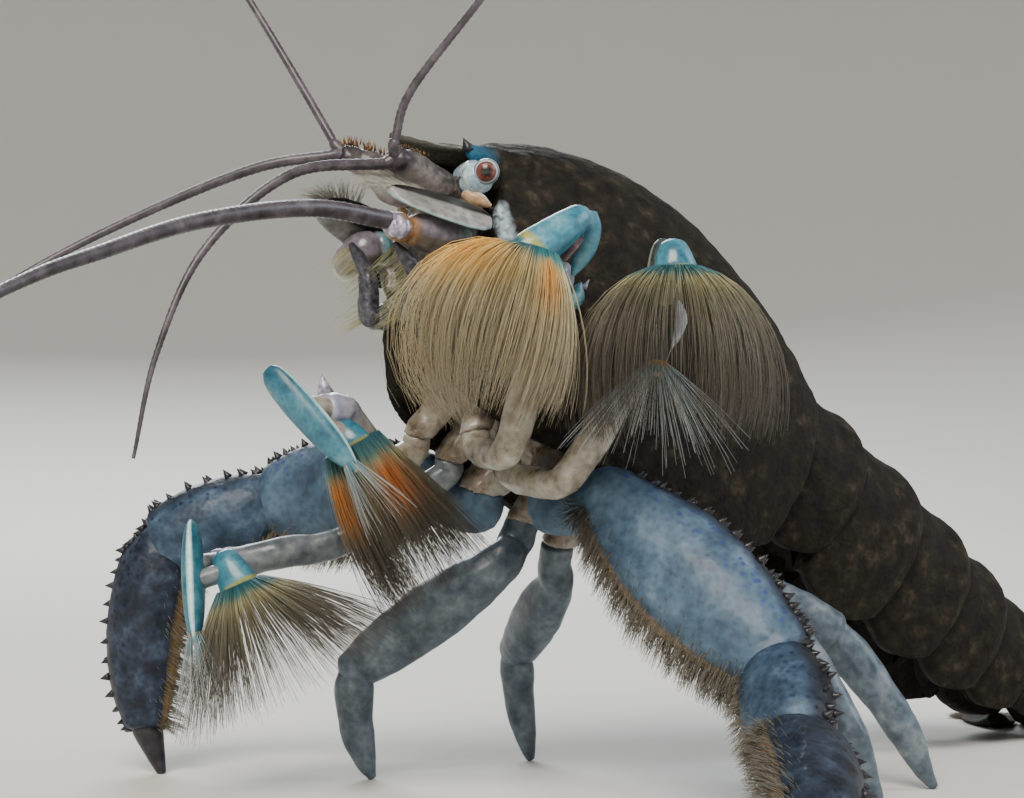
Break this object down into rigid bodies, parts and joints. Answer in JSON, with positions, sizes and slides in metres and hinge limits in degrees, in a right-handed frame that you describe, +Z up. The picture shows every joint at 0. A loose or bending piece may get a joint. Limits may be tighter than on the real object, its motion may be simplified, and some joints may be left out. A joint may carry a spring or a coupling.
{
  "type": "african fan shrimp model",
  "caption": "Life-size still model of an African fan shrimp standing on its legs and tail, with its bristle fans open in front and its feelers spread.",
  "frame": {"origin": "the middle of the bounding box, at floor level", "axes": "-X the way the head faces, -Y the animal's left side, +Z up"},
  "size_m": [0.1544, 0.0782, 0.082],
  "materials": {
    "brown_shell": "rough dark grey-brown shell",
    "pale_limb": "glossy whitish shell of the arms and mouth parts",
    "eye": "wet red-brown cornea",
    "dark_feeler": "satin purple-grey horn",
    "turquoise_hand": "glossy turquoise shell with bristles at the tip",
    "bristle": "fine golden to brown bristles in overlapping locks",
    "blue_shell": "satin slate-blue shell with short spines"
  },
  "bodies": {
    "root": {"carapace": "brown_shell", "abdomen_1": "brown_shell", "abdomen_2": "brown_shell", "abdomen_3": "brown_shell", "abdomen_4": "brown_shell", "abdomen_5": "brown_shell", "abdomen_6": "brown_shell", "telson": "brown_shell", "head": "pale_limb", "sternum": "pale_limb", "antenna_left_stem": "pale_limb", "antenna_right_stem": "pale_limb", "antennal_scale_left": "pale_limb", "antennal_scale_right": "pale_limb", "maxilliped_left": "pale_limb", "maxilliped_right": "pale_limb", "cheliped_1_left_arm": "pale_limb", "cheliped_1_right_arm": "pale_limb", "cheliped_2_left_arm": "pale_limb", "cheliped_2_right_arm": "pale_limb", "eye_left": "eye", "eye_right": "eye", "antennule_left_stem": "dark_feeler", "antennule_left_outer_whip": "dark_feeler", "antennule_left_inner_whip": "dark_feeler", "antennule_right_stem": "dark_feeler", "antennule_right_outer_whip": "dark_feeler", "antennule_right_inner_whip": "dark_feeler", "antenna_left_whip": "dark_feeler", "antenna_right_whip": "dark_feeler", "leg_3_left_claw": "dark_feeler", "leg_3_right_claw": "dark_feeler", "cheliped_1_left_hand": "turquoise_hand", "cheliped_1_right_hand": "turquoise_hand", "cheliped_2_left_hand": "turquoise_hand", "cheliped_2_right_hand": "turquoise_hand", "cheliped_1_left_finger": "bristle", "cheliped_1_right_finger": "bristle", "cheliped_2_left_finger": "bristle", "cheliped_2_right_finger": "bristle", "leg_3_left_thigh": "blue_shell", "leg_3_left_carpus": "blue_shell", "leg_3_left_propodus": "blue_shell", "leg_3_right_thigh": "blue_shell", "leg_3_right_carpus": "blue_shell", "leg_3_right_propodus": "blue_shell", "leg_4_left_thigh": "blue_shell", "leg_4_left_shin": "blue_shell", "leg_4_right_thigh": "blue_shell", "leg_4_right_shin": "blue_shell", "leg_5_left_thigh": "blue_shell", "leg_5_left_shin": "blue_shell", "leg_5_right_thigh": "blue_shell", "leg_5_right_shin": "blue_shell", "uropod_left_outer": "blue_shell", "uropod_left_inner": "blue_shell", "uropod_right_outer": "blue_shell", "uropod_right_inner": "blue_shell"}
  },
  "joints": []
}
